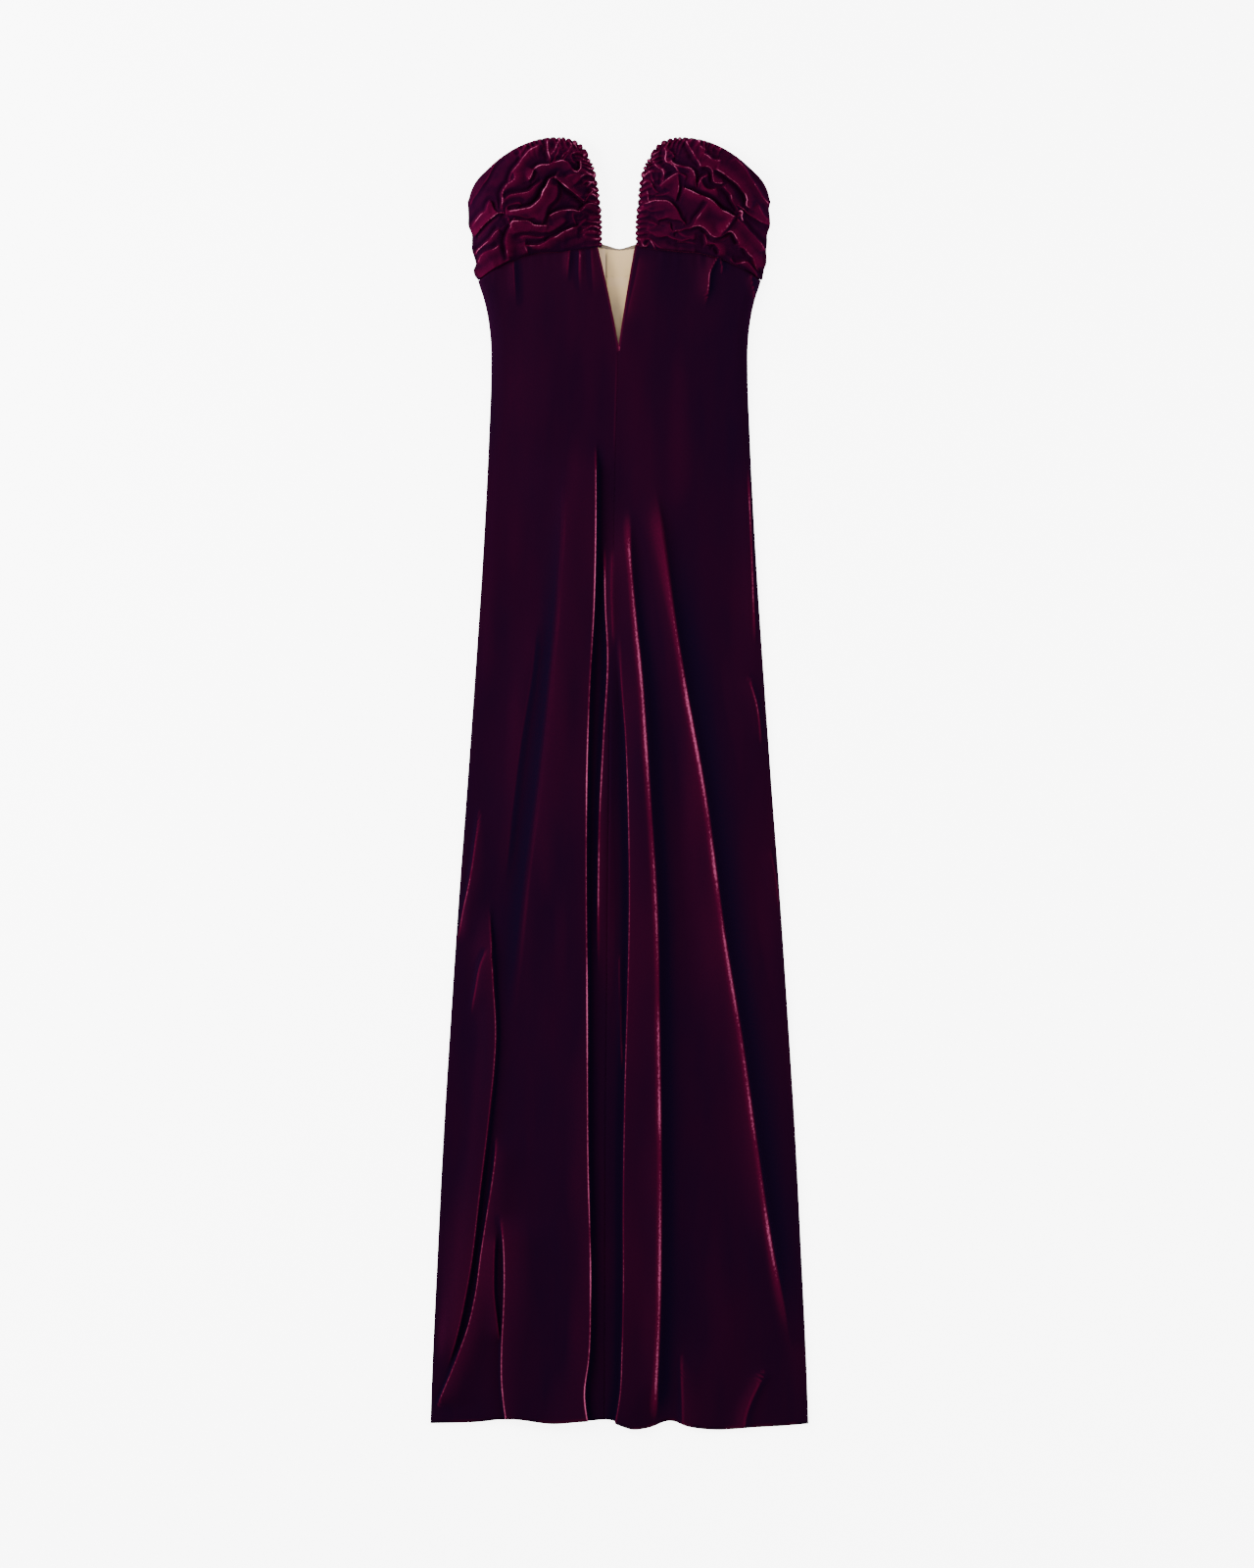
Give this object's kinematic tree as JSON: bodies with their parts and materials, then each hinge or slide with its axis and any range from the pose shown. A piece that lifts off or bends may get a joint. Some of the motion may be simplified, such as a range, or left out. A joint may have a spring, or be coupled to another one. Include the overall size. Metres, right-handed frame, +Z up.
{
  "type": "strapless gown",
  "caption": "Full-length strapless bustier gown with ruched cups, a plunging centre V and a plain skirt that widens to the hem, laid flat on its back with its folds as they fall",
  "frame": {"origin": "centre of the bounding box, on the surface that the gown lies on", "axes": "+Z up out of the surface, +Y from the hem toward the bust, +X toward the right side of the picture"},
  "size_m": [0.4314, 1.4818, 0.0455],
  "materials": {
    "burgundy_velvet": "silk-blend velvet, near black face on and wine red at the flanks of its folds",
    "cream_satin": "smooth satin lining, soft sheen"
  },
  "bodies": {
    "root": {"front_left": "burgundy_velvet", "front_right": "burgundy_velvet", "cup_left": "burgundy_velvet", "cup_right": "burgundy_velvet", "cup_casing_left": "burgundy_velvet", "cup_casing_right": "burgundy_velvet", "back_left": "burgundy_velvet", "back_right": "burgundy_velvet", "back_lining": "cream_satin"}
  },
  "joints": []
}
